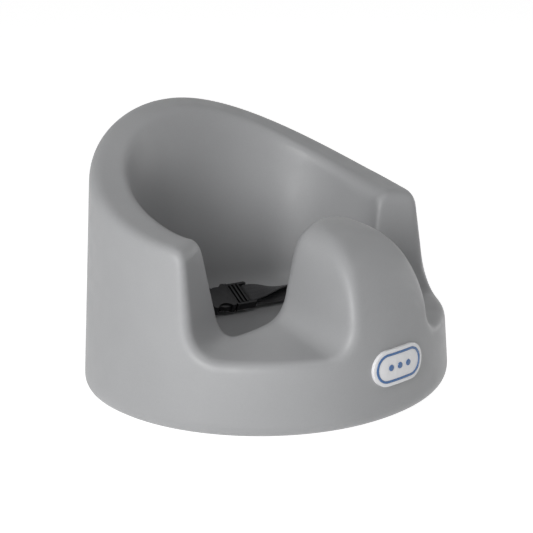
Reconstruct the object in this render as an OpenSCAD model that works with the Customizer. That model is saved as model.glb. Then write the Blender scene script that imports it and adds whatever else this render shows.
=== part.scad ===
// A moulded foam floor seat for a baby, with a waist belt.
// Millimetres. Z is up. The front is at -Y. The origin is the middle of the base, on the floor.
// The foam is one closed skin. Its outline runs round the rim, down the arm ends,
// across the two leg openings and over the post between the legs.

/* [Body] */
// Width of the outer wall near the floor
body_width = 390; // [370:1:410]
// Depth of the outer wall near the floor
body_depth = 347; // [335:1:360]
// Height of the rim at the middle of the back
back_height = 273; // [255:1:290]
// Height of the arm tops at their front ends
arm_height = 178; // [166:1:190]
// Height of the floor of the leg openings
lip_height = 75; // [70:1:84]
// Height of the seat floor
floor_height = 48; // [42:1:52]
// Height of the post between the legs
post_height = 185; // [176:1:196]

/* [Belt] */
// Width of the webbing
web_width = 25; // [20, 25]
// Thickness of the webbing
web_thick = 1.6; // [1.2, 1.4, 1.6]
// Length of the loose end past the buckle
tail_length = 62; // [45:1:66]

/* [Badge] */
// Length of the badge plate
badge_length = 68; // [56:1:72]
// Height of the badge plate
badge_height = 36; // [30:1:38]

/* [Hidden] */
$fn = 48;
half_w = body_width / 2;
half_d = body_depth / 2;
side_lean = 0.107;
back_lean = 0.008;
back_shift = 0.035;
egg = 17.9;
plan_power = 0.947;
base_round = 17;
back_round = 19;
// Half the difference between how far the back and the front reach from the plan's centre
home_y = ((back_shift - back_lean) * (back_height - back_round)
    + (back_shift + back_lean) * base_round) / 2;

function spow(v, e) = sign(v) * pow(abs(v), e);
function mix(a, b, k) = a * (1 - k) + b * k;
function clamp01(v) = min(1, max(0, v));
function ease(k) = k * k * (3 - 2 * k);
function bez(p, q, r, u) = (1 - u) * (1 - u) * p + 2 * u * (1 - u) * q + u * u * r;

// Outer wall: angle from the front, height, inset.
function foot_in(z) = z < base_round
    ? base_round - sqrt(max(0, pow(base_round, 2) - pow(base_round - z, 2))) : 0;
dome_start = lip_height + 20;
dome_depth = 82;
function dome_in(z) = let (k = clamp01((z - dome_start) / (post_height - 2 - dome_start)))
    dome_depth * (1 - sqrt(max(0, 1 - k * k)));
// The post's front wall spans this many degrees on each side of the middle.
post_angle = 24;
function is_post(a) = a < post_angle;
function outer(a, z) = let (
        s = spow(sin(a), plan_power), c = spow(cos(a), plan_power),
        q = foot_in(z) + (is_post(a) ? dome_in(z) : 0))
    [(half_w - side_lean * z - q) * s,
     -(half_d - back_lean * z - q) * c + back_shift * z + egg * s * s - home_y, z];

// Inner wall: an oval bowl cut flat at the front, by angle from the front and height.
// Each wall has its place at the seat floor and how far it leans out per mm of height.
bowl_y = 11.2;
bowl_n = 2.4;
bowl_m = 6;
side_wall = 83;
side_flare = 0.142;
back_wall = 76.5;
back_flare = 0.159;
bowl_front = 57;
front_flare = 0.21;
function bowl_a(z) = half_w - side_wall + side_flare * (z - floor_height);
function bowl_b(z) = half_d - back_wall + back_flare * (z - floor_height);
function bowl_f(z) = bowl_front + front_flare * (z - floor_height);
function bowl_r(a, z) = let (
        side = pow(pow(abs(sin(a)) / bowl_a(z), bowl_n) + pow(abs(cos(a)) / bowl_b(z), bowl_n),
                   1 / bowl_n),
        front = max(0, cos(a)) / bowl_f(z))
    1 / pow(pow(side, bowl_m) + pow(front, bowl_m), 1 / bowl_m);
function inner(a, z) = let (r = bowl_r(a, z)) [r * sin(a), bowl_y - r * cos(a), z];

// Rim height round the back, from the arm end to the middle of the back.
arm_end = 70;
rim_slope = 0.2;
function rim_g(w) = rim_slope * (w - 2 * w * w + w * w * w) + w * w * (3 - 2 * w);
function rim_z(a) = mix(arm_height, back_height, rim_g(clamp01((a - arm_end) / (180 - arm_end))));
// How far the rim's inner edge lies below its outer edge, at the arm and at the back
arm_drop = -3;
back_drop = 9;
drop_span = 60;
function rim_drop(a) = mix(arm_drop, back_drop, ease(clamp01((a - arm_end) / drop_span)));

// Stations along the edge of the foam: outer [angle, height], inner [angle, height],
// outer round, inner round.
rim_last = 74.5;
back_in_round = 8;
arm_round = 10;
arm_in_round = 19;
// Outer and inner rounds at the points where the edge's stretches meet
flank_top = [9, 6];
flank_foot = [11, 8];
notch_arm = [10, 20];
notch_post = [10, 22];
post_low = [9, 12];
post_crown = [8, 14];
function rim_station(u) = let (a = mix(180, rim_last, u))
    [[a, rim_z(a)], [a, rim_z(a) - rim_drop(a)], mix(back_round, arm_round, ease(u)),
     mix(back_in_round, arm_in_round, ease(clamp01(2 * u - 1)))];
function cubic(a, b, c, d, u) = let (v = 1 - u)
    v * v * v * a + 3 * v * v * u * b + 3 * v * u * u * c + u * u * u * d;
// A point of a curve through three or four control points
function curve(c, u) = len(c) == 4 ? cubic(c[0], c[1], c[2], c[3], u) : bez(c[0], c[1], c[2], u);
function bend(o, i, from, to, u) = [curve(o, u), curve(i, u), mix(from[0], to[0], u),
    mix(from[1], to[1], u)];
function straight(p, q) = [p, (p + q) / 2, q];

arm_top_o = [[rim_last, rim_z(rim_last)], [68.2, arm_height], [67.5, arm_height - 14]];
arm_top_i = [[rim_last, rim_z(rim_last) - rim_drop(rim_last)],
    [70.8, arm_height + 2], [70.2, arm_height - 14]];
arm_foot_o = [[65.6, lip_height + 37], [64.8, lip_height], [54, lip_height]];
arm_foot_i = [[66.4, lip_height + 29], [64.2, lip_height], [57, lip_height + 6]];
post_foot_o = [[24, lip_height], [16.8, lip_height], [15.6, lip_height + 25]];
post_foot_i = [[44, lip_height + 15.5], [33.5, lip_height + 20.8], [31.2, lip_height + 42]];
post_top_o = [[14.4, post_height - 34], [14.2, post_height - 9], [10, post_height],
    [0, post_height]];
post_top_i = [[27.5, post_height - 34], [25.8, post_height - 9], [18, post_height],
    [0, post_height]];

half_path = concat(
    [for (k = [0:31]) rim_station(k / 32)],
    [for (k = [0:7]) bend(arm_top_o, arm_top_i, [arm_round, arm_in_round], flank_top, k / 8)],
    [for (k = [0:3]) bend(straight(arm_top_o[2], arm_foot_o[0]),
        straight(arm_top_i[2], arm_foot_i[0]), flank_top, flank_foot, k / 4)],
    [for (k = [0:9]) bend(arm_foot_o, arm_foot_i, flank_foot, notch_arm, k / 10)],
    [for (k = [0:7]) bend(straight(arm_foot_o[2], post_foot_o[0]),
        straight(arm_foot_i[2], post_foot_i[0]), notch_arm, notch_post, k / 8)],
    [for (k = [0:7]) bend(post_foot_o, post_foot_i, notch_post, post_low, k / 8)],
    [for (k = [0:4]) bend(straight(post_foot_o[2], post_top_o[0]),
        straight(post_foot_i[2], post_top_i[0]), post_low, post_low, k / 5)],
    [for (k = [0:12]) bend(post_top_o, post_top_i, post_low, post_crown, k / 12)]);
last = len(half_path) - 1;

function unit(v) = v / norm(v);
function mm_per_deg_o(p) = norm(outer(p[0] + 0.5, p[1]) - outer(p[0] - 0.5, p[1]));
function mm_per_deg_i(p) = norm(inner(p[0] + 0.5, p[1]) - inner(p[0] - 0.5, p[1]));
// Points a round's width away from the edge, square to it, on the solid's side.
function off(p, before, after, deg_mm, r) = let (
        d = after - before, t = unit([d[0] * deg_mm, d[1]]))
    [p[0] - t[1] * r / deg_mm, p[1] + t[0] * r];
function off_o(k) = let (p = half_path[k][0])
    k == 0 || k == last ? [p[0], p[1] - half_path[k][2]]
    : off(p, half_path[k - 1][0], half_path[k + 1][0], mm_per_deg_o(p), half_path[k][2]);
function off_i(k) = let (p = half_path[k][1])
    k == 0 || k == last ? [p[0], p[1] - half_path[k][3]]
    : off(p, half_path[k - 1][1], half_path[k + 1][1], mm_per_deg_i(p), half_path[k][3]);

floor_round = 36;
pocket_deep = 9;
pocket_scale = 0.82;
floor_mid = [0, bowl_y, floor_height];
round_steps = 5;
wall_steps = 4;

function profile(k) = let (
        eo = outer(half_path[k][0][0], half_path[k][0][1]),
        ei = inner(half_path[k][1][0], half_path[k][1][1]),
        oo = off_o(k), oi = off_i(k),
        across = unit(ei - eo), wide = norm(ei - eo),
        ro = min(half_path[k][2], wide * 0.5), ri = min(half_path[k][3], wide * 0.45),
        wo = outer(oo[0], oo[1]), wi = inner(oi[0], oi[1]),
        to = eo + across * ro, ti = ei - across * ri,
        foot = inner(oi[0], floor_height),
        up = unit(wi - foot), in = unit(floor_mid - foot),
        fr = min(floor_round, (oi[1] - floor_height) * 0.85),
        base = outer(oo[0], 0))
    concat(
        [[base[0] * pocket_scale, base[1] * pocket_scale, 0]],
        [for (j = [0:5]) outer(oo[0], base_round * (1 - cos(90 * j / 5)))],
        [for (j = [1:wall_steps - 1]) outer(oo[0], mix(base_round, oo[1], j / wall_steps))],
        [for (j = [0:round_steps]) bez(wo, eo, to, j / round_steps)],
        [for (j = [0:round_steps]) bez(ti, ei, wi, j / round_steps)],
        [mix(wi, foot + up * fr, 0.5)],
        [for (j = [0:6]) bez(foot + up * fr, foot, foot + in * floor_round, j / 6)],
        [mix(foot + in * floor_round, floor_mid, 0.5)]);

function mirrored(p) = [-p[0], p[1], p[2]];
right = [for (k = [0:last]) profile(k)];
ring = concat(right, [for (k = [last - 1:-1:1]) [for (p = right[k]) mirrored(p)]]);
rings = len(ring);
rows = len(ring[0]);

// Belt anchors: a slot through the bowl wall on each side, a bracket behind it.
hw = web_width / 2;
// The slot's centre, in from the back wall and up from the seat floor
slot_in = 115.5;
slot_up = 13;
slot_y = half_d - slot_in;
slot_z = floor_height + slot_up;
slot_gap = 1.2;
slot_deep = 5;
slot_lead = 4;
// The bracket's upright and the inner end of its flange, in from the side wall
bracket_in = 74;
flange_in = 103;
bracket_x = half_w - bracket_in;
flange_x = half_w - flange_in;
bracket_thick = 3;
bracket_side = 8.5;
bracket_half = hw + bracket_side;
bracket_over = 15;
bracket_top = slot_z + bracket_over;
board_thick = 5;
board_top = pocket_deep;
board_share = 0.815;
room_gap = 0.5;
pin_r = 2;
pin_fit = 0.05;
loop_thick = 1.6;
loop_r = pin_r + loop_thick;
pin_x = bracket_x + bracket_thick + loop_r + room_gap;
pin_over = 4.5;
pin_half = hw + pin_over;
screw_r = 2.5;
screw_gap = 0.3;
screw_head_r = 5;
screw_head = 2.4;
drive_long = 6;
drive_wide = 1.2;
screw_in = 12;
screw_edge = 10;
screw_x = flange_x + screw_in;
screw_spots = [for (s = [-1, 1]) [screw_x, slot_y + s * (bracket_half - screw_edge)]];

module both() for (s = [0, 1]) mirror([s, 0, 0]) children();

// A box between x0 and x1 and between z0 and z1, centred on the slot's width.
module slot_box(x0, x1, half, z0, z1) translate([x0, slot_y - half, z0])
    cube([x1 - x0, 2 * half, z1 - z0]);
module web_slot(x0, x1) slot_box(x0, x1, hw + slot_gap, slot_z - slot_deep / 2,
    slot_z + slot_deep / 2);

module anchor_room() {
    web_slot(flange_x - slot_lead, bracket_x + 1);
    // shaft for the bracket, its pin and the webbing loop
    slot_box(bracket_x - room_gap, pin_x + loop_r + room_gap, bracket_half + room_gap,
        board_top - 1, bracket_top + room_gap);
    // seat for the bracket flange
    slot_box(flange_x - room_gap, bracket_x, bracket_half + room_gap,
        board_top - 1, board_top + bracket_thick + room_gap);
}

module foam_body() {
    pts = concat([for (r = ring) each r], [floor_mid, [0, 0, pocket_deep]],
        [for (r = ring) [r[0][0], r[0][1], pocket_deep]]);
    mid = rings * rows;
    low = mid + 1;
    rim0 = mid + 2;
    faces = concat(
        [for (k = [0:rings - 1], j = [0:rows - 2]) each
            let (a = k * rows + j, b = ((k + 1) % rings) * rows + j)
                [[a, b, b + 1], [a, b + 1, a + 1]]],
        [for (k = [0:rings - 1])
            [k * rows + rows - 1, ((k + 1) % rings) * rows + rows - 1, mid]],
        [for (k = [0:rings - 1]) each
            let (a = rim0 + k, b = rim0 + (k + 1) % rings, c = k * rows,
                 d = ((k + 1) % rings) * rows)
                [[a, b, d], [a, d, c]]],
        [for (k = [0:rings - 1]) [rim0 + (k + 1) % rings, rim0 + k, low]]);
    polyhedron(points = pts, faces = faces, convexity = 8);
}

module foam_shell() color([0.5, 0.51, 0.52]) difference() {
    foam_body();
    both() anchor_room();
    badge_seat();
}

module screw_holes(r) for (p = screw_spots)
    translate([p[0], p[1], 0]) cylinder(r = r, h = 3 * board_top);

module base_board() color([0.16, 0.16, 0.17]) difference() {
    translate([0, 0, board_top - board_thick])
        linear_extrude(board_thick)
            polygon([for (a = [0:4:356])
                let (p = outer(a > 180 ? a - 360 : a, 0)) [p[0] * board_share, p[1] * board_share]]);
    both() screw_holes(screw_r + screw_gap);
}

module bracket() difference() {
    union() {
        slot_box(bracket_x, bracket_x + bracket_thick, bracket_half, board_top, bracket_top);
        slot_box(flange_x, bracket_x + bracket_thick, bracket_half,
            board_top, board_top + bracket_thick);
    }
    web_slot(bracket_x - 1, bracket_x + bracket_thick + 1);
    screw_holes(screw_r);
}
module bracket_right() color([0.62, 0.63, 0.65]) bracket();
module bracket_left() color([0.62, 0.63, 0.65]) mirror([1, 0, 0]) bracket();

screw_base = board_top - board_thick;
module bracket_screws() color([0.7, 0.7, 0.72]) both() for (p = screw_spots)
    translate([p[0], p[1], screw_base]) {
        cylinder(r = screw_r, h = board_thick + bracket_thick);
        translate([0, 0, -screw_head]) difference() {
            cylinder(r = screw_head_r, h = screw_head);
            for (t = [0, 90]) rotate([0, 0, t])
                translate([-drive_long / 2, -drive_wide / 2, -1])
                    cube([drive_long, drive_wide, 1 + screw_head / 2]);
        }
    }

module anchor_pins() color([0.7, 0.7, 0.72]) both()
    translate([pin_x, slot_y - pin_half, slot_z]) rotate([-90, 0, 0])
        cylinder(r = pin_r, h = 2 * pin_half);

// Buckle, in its own frame: +X along the belt to the right, the mouth at x = 0,
// Y across its width, Z square to its face.
buckle_at = [12.5, slot_y + 21.1, floor_height + 15.4];
buckle_tilt = 26;
buckle_turn = -13.3;
buckle_side = 4.5;
buckle_half = hw + buckle_side;
buckle_thick = 11;
socket_long = 28;
module at_buckle() translate(buckle_at) rotate([buckle_tilt, 0, buckle_turn]) children();
function turned(v) = let (
        y = v[1] * cos(buckle_tilt) - v[2] * sin(buckle_tilt),
        z = v[1] * sin(buckle_tilt) + v[2] * cos(buckle_tilt))
    [v[0] * cos(buckle_turn) - y * sin(buckle_turn),
     v[0] * sin(buckle_turn) + y * cos(buckle_turn), z];
function buckle_point(v) = buckle_at + turned(v);

module slab(x0, x1, half, thick) translate([x0, -half, -thick / 2])
    cube([x1 - x0, 2 * half, thick]);
module linear_rounded(x0, x1, half, thick, r) translate([0, 0, -thick / 2]) {
    translate([x0 + r, -half, 0]) cube([x1 - x0 - 2 * r, 2 * half, thick]);
    translate([x0, -half + r, 0]) cube([x1 - x0, 2 * (half - r), thick]);
    for (x = [x0 + r, x1 - r], y = [-half + r, half - r])
        translate([x, y, 0]) cylinder(r = r, h = thick);
}

// The hollow for the tongue, and the windows for the prong heads
hollow_half = buckle_half - 4.1;
hollow_thick = 6.8;
hollow_end = -25.5;
window_near = -7;
window_far = -22.5;
thumb_r = 10;
thumb_bite = 5;
fit_gap = 0.3;
tail_half = buckle_half - 1;
tail_thick = 7;
// Round bars that the webbing turns on
arm_in = hw + 1;
bar_r = 1.6;
turn_r = bar_r + 0.2 + web_thick / 2;
bar_end = turn_r + web_thick / 2;
slot_near = 15.6;
tongue_bar = slot_near + 2.4 + bar_end;
socket_bar = -socket_long - 3.5 - bar_end;
module web_bar(x) translate([x, -arm_in - 1, 0]) rotate([-90, 0, 0])
    cylinder(r = bar_r, h = 2 * (arm_in + 1));

module buckle_socket() color([0.13, 0.13, 0.14]) at_buckle() {
    difference() {
        union() {
            linear_rounded(-socket_long, -fit_gap, buckle_half, buckle_thick, 3);
            linear_rounded(socket_bar - bar_end, -socket_long + 4, tail_half, tail_thick, 2.5);
        }
        slab(hollow_end, 1, hollow_half, hollow_thick);
        slab(window_far, window_near, buckle_half + 1, hollow_thick);
        for (s = [-1, 1])
            translate([(window_near + window_far) / 2, s * (buckle_half + thumb_r - thumb_bite),
                -buckle_thick])
                cylinder(r = thumb_r, h = 2 * buckle_thick);
        slab(socket_bar - 2 * bar_end, -socket_long - 0.5, arm_in, buckle_thick);
    }
    web_bar(socket_bar);
}

tongue_half = buckle_half - 0.4;
tongue_thick = 8.6;
collar_long = 1.6;
guide_half = 4.5;
guide_thick = 3.6;
// Three grip ribs across the tongue's faces, each with a groove before it
rib_wide = 1.8;
rib_high = 0.9;
rib_pitch = 4.5;
groove_wide = 2.4;
groove_deep = 1.8;
rib_half = tongue_half - 2.5;
module at_ribs() for (k = [0:2]) translate([collar_long + groove_wide + k * rib_pitch, 0, 0])
    children();
module buckle_tongue() color([0.13, 0.13, 0.14]) at_buckle() {
    difference() {
        linear_rounded(0, tongue_bar + bar_end, tongue_half, tongue_thick, 2.5);
        slab(slot_near, tongue_bar + 2 * bar_end, arm_in, buckle_thick);
        at_ribs() difference() {
            slab(-groove_wide, 0, rib_half, 2 * tongue_thick);
            slab(-2 * groove_wide, groove_wide, tongue_half, tongue_thick - 2 * groove_deep);
        }
    }
    web_bar(tongue_bar);
    slab(0, collar_long, buckle_half - 0.1, buckle_thick - 2 * fit_gap);
    slab(hollow_end + 4, 0.5, guide_half, guide_thick);
    at_ribs() slab(0, rib_wide, rib_half, tongue_thick + 2 * rib_high);
}

prong_in = buckle_half - 8.4;
prong_out = prong_in + 3.4;
prong_head = buckle_half - 0.8;
prong_tall = 6;
prong_tip = window_far + 0.6;
head_near = window_near - fit_gap;
module prong(s) translate([0, 0, -prong_tall / 2]) {
    translate([prong_tip + 2, s > 0 ? prong_in : -prong_out, 0])
        cube([-prong_tip - 2, prong_out - prong_in, prong_tall]);
    linear_extrude(prong_tall)
        polygon([for (p = [[prong_tip, prong_in + 0.8], [prong_tip + 2, prong_in],
            [head_near, prong_in], [head_near, prong_head - 0.8],
            [head_near - 2, prong_head], [head_near - 7.5, prong_head],
            [head_near - 11.5, prong_head - 2.6], [prong_tip, prong_out - 0.6]])
            [p[0], s * p[1]]]);
}
module buckle_prong_front() color([0.13, 0.13, 0.14]) at_buckle() prong(-1);
module buckle_prong_back() color([0.13, 0.13, 0.14]) at_buckle() prong(1);

// Webbing: a flat strip swept along a line of stations, each a centre and a half width vector.
function strip_normal(st, k) = let (
        a = st[max(0, k - 1)][0], b = st[min(len(st) - 1, k + 1)][0])
    unit(cross(b - a, st[k][1]));
module strip(st, thick) {
    n = len(st);
    pts = [for (k = [0:n - 1]) let (c = st[k][0], w = st[k][1], t = strip_normal(st, k) * thick / 2)
        each [c - w - t, c + w - t, c + w + t, c - w + t]];
    faces = concat([[0, 1, 2, 3]], [[4 * n - 1, 4 * n - 2, 4 * n - 3, 4 * n - 4]],
        [for (k = [0:n - 2], j = [0:3]) let (a = 4 * k + j, b = 4 * k + (j + 1) % 4)
            each [[a, a + 4, b + 4], [a, b + 4, b]]]);
    polyhedron(points = pts, faces = faces, convexity = 6);
}
flat_w = [0, hw, 0];
buckle_w = turned([0, hw, 0]);
module loop_end() difference() {
    translate([pin_x, slot_y - hw, slot_z]) rotate([-90, 0, 0])
        cylinder(r = loop_r, h = web_width);
    translate([pin_x, slot_y - hw - 1, slot_z]) rotate([-90, 0, 0])
        cylinder(r = pin_r + pin_fit, h = web_width + 2);
}

slot_end = [pin_x - pin_r - loop_thick / 2, slot_y, slot_z];
slot_mouth = [flange_x + 1, slot_y, slot_z + 1];
low_start = -turn_r - 1.6;
lead = 10;
mouth_pull = [-16, 0.5, -4];
low_pull = turned([22, 0, -7]);
// The loose end's width direction where it turns edge on
tail_turn = unit([0.2, 0.93, -0.35]);
r_low = buckle_point([tongue_bar + lead, 0, low_start]);
right_run = concat(
    [for (k = [0:2]) [mix(slot_end, slot_mouth, k / 3), flat_w]],
    [for (k = [0:14]) let (u = k / 15) [cubic(slot_mouth, slot_mouth + mouth_pull,
        r_low + low_pull, r_low, u), mix(flat_w, buckle_w, ease(u))]],
    [for (k = [0:3]) [buckle_point([mix(tongue_bar + lead, tongue_bar, k / 4), 0,
        mix(low_start, -turn_r, k / 4)]), buckle_w]],
    [for (k = [0:8]) let (a = -90 - 180 * k / 8)
        [buckle_point([tongue_bar + turn_r * cos(a), 0, turn_r * sin(a)]), buckle_w]],
    [for (k = [1:12]) let (u = k / 12) [buckle_point([tongue_bar + tail_length * u, 0,
        turn_r + sin(180 * u)]), hw * unit(mix(buckle_w / hw, tail_turn, ease(clamp01(1.35 * u))))]]);
module belt_right() color([0.09, 0.09, 0.1]) {
    strip(right_run, web_thick);
    loop_end();
}

left_lead = 14;
sewn_end = 13;
// The left half stands on its edge where it rounds the bowl
on_edge = [0, -0.3, 1];
function left_w(u) = hw * unit(mix(flat_w, buckle_w, ease(u)) / hw + on_edge * 1.3 * sin(180 * u));
sewn_z = web_thick + 0.2 - turn_r;
left_pull = [16, 3, 4];
far_pull = turned([-14, 0, 0]) + [0, -3, 3];
l_far = buckle_point([socket_bar - left_lead, 0, -turn_r]);
left_run = concat(
    [for (k = [0:2]) [mirrored(mix(slot_end, slot_mouth, k / 3)), flat_w]],
    [for (k = [0:12]) let (u = k / 13) [cubic(mirrored(slot_mouth),
        mirrored(slot_mouth) + left_pull, l_far + far_pull, l_far, u),
        left_w(u)]],
    [for (k = [0:3]) [buckle_point([mix(socket_bar - left_lead, socket_bar, k / 4), 0, -turn_r]),
        buckle_w]],
    [for (k = [0:8]) let (a = -90 + 180 * k / 8)
        [buckle_point([socket_bar + turn_r * cos(a), 0, turn_r * sin(a)]), buckle_w]],
    [for (k = [1:4]) [buckle_point([socket_bar - sewn_end * k / 4, 0,
        mix(turn_r, sewn_z, ease(clamp01(k / 3)))]), buckle_w]]);
module belt_left() color([0.09, 0.09, 0.1]) {
    strip(left_run, web_thick);
    mirror([1, 0, 0]) loop_end();
}

// Badge on the front wall: a plate in a flat-bottomed seat, with a face bent like the wall.
badge_z = lip_height - badge_height / 2;
badge_proud = 3.2;
badge_play = 0.06;
inlay_floor = 0.5;
inlay_proud = 0.5;
band_inset = 3.4;
band_wide = 2.4;
dot_r = 3.1;
dot_pitch = 12;
inlay_deep = 12;
function wall_y(x, z) = let (a = asin(pow(x / (half_w - side_lean * z), 1 / plan_power)))
    outer(a, z)[1];
badge_front = wall_y(0.001, badge_z);
badge_sag = wall_y(badge_length / 2, badge_z) - badge_front;
badge_bend = (pow(badge_length / 2, 2) + pow(badge_sag, 2)) / (2 * badge_sag);
badge_back = badge_sag + 0.6;
badge_lean = -atan(back_lean + back_shift);
// Y is 0 at the wall's front line here and grows into the foam.
module at_badge() translate([0, badge_front, badge_z]) rotate([badge_lean, 0, 0]) children();
module pill(long, tall, back, deep) translate([0, back, 0]) rotate([90, 0, 0])
    linear_extrude(deep) {
        translate([(tall - long) / 2, -tall / 2]) square([long - tall, tall]);
        for (s = [-1, 1]) translate([s * (long - tall) / 2, 0]) circle(r = tall / 2);
    }
module bent(proud) translate([0, badge_bend, -40])
    cylinder(r = badge_bend + proud, h = 80, $fn = 180);
module inset_pill(inset, back, deep)
    pill(badge_length - 2 * inset, badge_height - 2 * inset, back, deep);
module badge_seat() at_badge() inset_pill(-badge_play, badge_back, inlay_deep);
module dot_spots() for (x = [-1, 0, 1]) translate([x * dot_pitch, 0, 0]) children();

module badge_plate() color([0.93, 0.93, 0.94]) at_badge() difference() {
    intersection() {
        inset_pill(0, badge_back, inlay_deep);
        bent(badge_proud);
    }
    difference() {
        inset_pill(band_inset - badge_play, badge_back - inlay_floor, inlay_deep + 2);
        inset_pill(band_inset + band_wide + badge_play, badge_back - inlay_floor + 1, inlay_deep + 4);
    }
    dot_spots() translate([0, badge_back - inlay_floor, 0]) rotate([90, 0, 0])
        cylinder(r = dot_r + badge_play, h = inlay_deep);
}
module badge_band() color([0.18, 0.36, 0.55]) at_badge() intersection() {
    difference() {
        inset_pill(band_inset, badge_back - inlay_floor, inlay_deep + 2);
        inset_pill(band_inset + band_wide, badge_back - inlay_floor + 1, inlay_deep + 4);
    }
    bent(badge_proud + inlay_proud);
}
module badge_dots() color([0.18, 0.36, 0.55]) at_badge() intersection() {
    dot_spots() translate([0, badge_back - inlay_floor, 0]) rotate([90, 0, 0])
        cylinder(r = dot_r, h = inlay_deep);
    bent(badge_proud + inlay_proud);
}

foam_shell();
base_board();
bracket_left();
bracket_right();
bracket_screws();
anchor_pins();
belt_left();
belt_right();
buckle_socket();
buckle_tongue();
buckle_prong_front();
buckle_prong_back();
badge_plate();
badge_band();
badge_dots();
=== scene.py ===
import bmesh
import bpy
import math
from mathutils import Matrix, Vector


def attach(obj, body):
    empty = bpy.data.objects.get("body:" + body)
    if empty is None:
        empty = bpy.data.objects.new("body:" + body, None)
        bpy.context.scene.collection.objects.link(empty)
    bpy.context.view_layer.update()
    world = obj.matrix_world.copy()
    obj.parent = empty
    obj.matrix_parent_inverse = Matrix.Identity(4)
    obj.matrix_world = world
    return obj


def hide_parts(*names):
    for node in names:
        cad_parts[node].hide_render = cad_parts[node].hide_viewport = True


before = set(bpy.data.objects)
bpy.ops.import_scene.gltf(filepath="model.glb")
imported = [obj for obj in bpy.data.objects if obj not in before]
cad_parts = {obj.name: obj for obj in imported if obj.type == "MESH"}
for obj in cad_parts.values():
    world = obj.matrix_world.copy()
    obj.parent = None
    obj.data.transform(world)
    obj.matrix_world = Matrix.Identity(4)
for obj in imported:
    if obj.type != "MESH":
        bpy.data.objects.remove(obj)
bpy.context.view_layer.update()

# Sizes are in millimetres, as in the CAD model, and become metres where a mesh is made.
MM = 0.001
BODY_WIDTH, BODY_DEPTH = 390, 347
BACK_HEIGHT, ARM_HEIGHT, LIP_HEIGHT = 273, 178, 75
FLOOR_HEIGHT, POST_HEIGHT = 48, 185
WEB_WIDTH, WEB_THICK, TAIL_LENGTH = 25, 1.6, 62
HALF_W, HALF_D = BODY_WIDTH / 2, BODY_DEPTH / 2

# Outer wall: its lean per mm of height, and the shape of its plan
SIDE_LEAN, BACK_LEAN, BACK_SHIFT, EGG = 0.107, 0.008, 0.035, 17.9
PLAN_POWER = 0.947
BASE_ROUND, BACK_ROUND = 17, 19
# Half the difference between how far the back and the front reach from the plan's centre
HOME_Y = ((BACK_SHIFT - BACK_LEAN) * (BACK_HEIGHT - BACK_ROUND)
          + (BACK_SHIFT + BACK_LEAN) * BASE_ROUND) / 2

# The post's front wall domes back between two heights, and spans this many degrees on each
# side of the middle
DOME_START, DOME_TOP, DOME_DEPTH = LIP_HEIGHT + 20, POST_HEIGHT - 2, 82
POST_ANGLE = 24

# Bowl: its middle, the powers of its oval and of its cut front, and for each wall its place
# at the seat floor and its lean per mm of height
BOWL_Y, BOWL_N, BOWL_M = 11.2, 2.4, 6
SIDE_WALL, SIDE_FLARE = 83, 0.142
BACK_WALL, BACK_FLARE = 76.5, 0.159
BOWL_FRONT, FRONT_FLARE = 57, 0.21

# Rim: where it starts at the arm, in degrees from the front, and how far its inner edge
# lies below its outer one
ARM_END, RIM_SLOPE, RIM_LAST = 70, 0.2, 74.5
ARM_DROP, BACK_DROP, DROP_SPAN = -3, 9, 60

# Outer and inner rounds at the points where the edge's stretches meet
BACK_IN_ROUND, ARM_ROUND, ARM_IN_ROUND = 8, 10, 19
FLANK_TOP, FLANK_FOOT = (9, 6), (11, 8)
NOTCH_ARM, NOTCH_POST = (10, 20), (10, 22)
POST_LOW, POST_CROWN = (9, 12), (8, 14)

FLOOR_ROUND, POCKET_DEEP, POCKET_SCALE = 36, 9, 0.82
FLOOR_MID = Vector((0, BOWL_Y, FLOOR_HEIGHT))
# The most of the wall's thickness, and of the bowl's height, that a round takes
ROUND_SHARE, IN_ROUND_SHARE, RISE_SHARE = 0.5, 0.45, 0.85


# ---------------------------------------------------------------- small maths
def mix(a, b, k):
    if isinstance(a, (list, tuple)):
        return [x * (1 - k) + y * k for x, y in zip(a, b)]
    return a * (1 - k) + b * k


def clamp01(v):
    return min(1.0, max(0.0, v))


def ease(k):
    return k * k * (3 - 2 * k)


def spow(v, e):
    return math.copysign(abs(v) ** e, v)


def bez(p, q, r, u):
    return [(1 - u) ** 2 * a + 2 * u * (1 - u) * b + u * u * c for a, b, c in zip(p, q, r)]


def cubic(a, b, c, d, u):
    v = 1 - u
    return a * v ** 3 + b * 3 * v * v * u + c * 3 * v * u * u + d * u ** 3


def curve(points, u):
    """A point of the curve through three or four control points."""
    return [cubic(*axis, u) for axis in zip(*points)] if len(points) == 4 else bez(*points, u)


def straight(p, q):
    return [p, [(p[0] + q[0]) / 2, (p[1] + q[1]) / 2], q]


# ---------------------------------------------------------------- foam surfaces
def foot_in(z):
    if z >= BASE_ROUND:
        return 0.0
    return BASE_ROUND - math.sqrt(max(0.0, BASE_ROUND ** 2 - (BASE_ROUND - z) ** 2))


def dome_in(z):
    k = clamp01((z - DOME_START) / (DOME_TOP - DOME_START))
    return DOME_DEPTH * (1 - math.sqrt(max(0.0, 1 - k * k)))


def outer(a, z):
    """A point of the outer wall, by angle from the front and height."""
    s = spow(math.sin(math.radians(a)), PLAN_POWER)
    c = spow(math.cos(math.radians(a)), PLAN_POWER)
    q = foot_in(z) + (dome_in(z) if a < POST_ANGLE else 0.0)
    return Vector(((HALF_W - SIDE_LEAN * z - q) * s,
                   -(HALF_D - BACK_LEAN * z - q) * c + BACK_SHIFT * z + EGG * s * s - HOME_Y, z))


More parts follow.
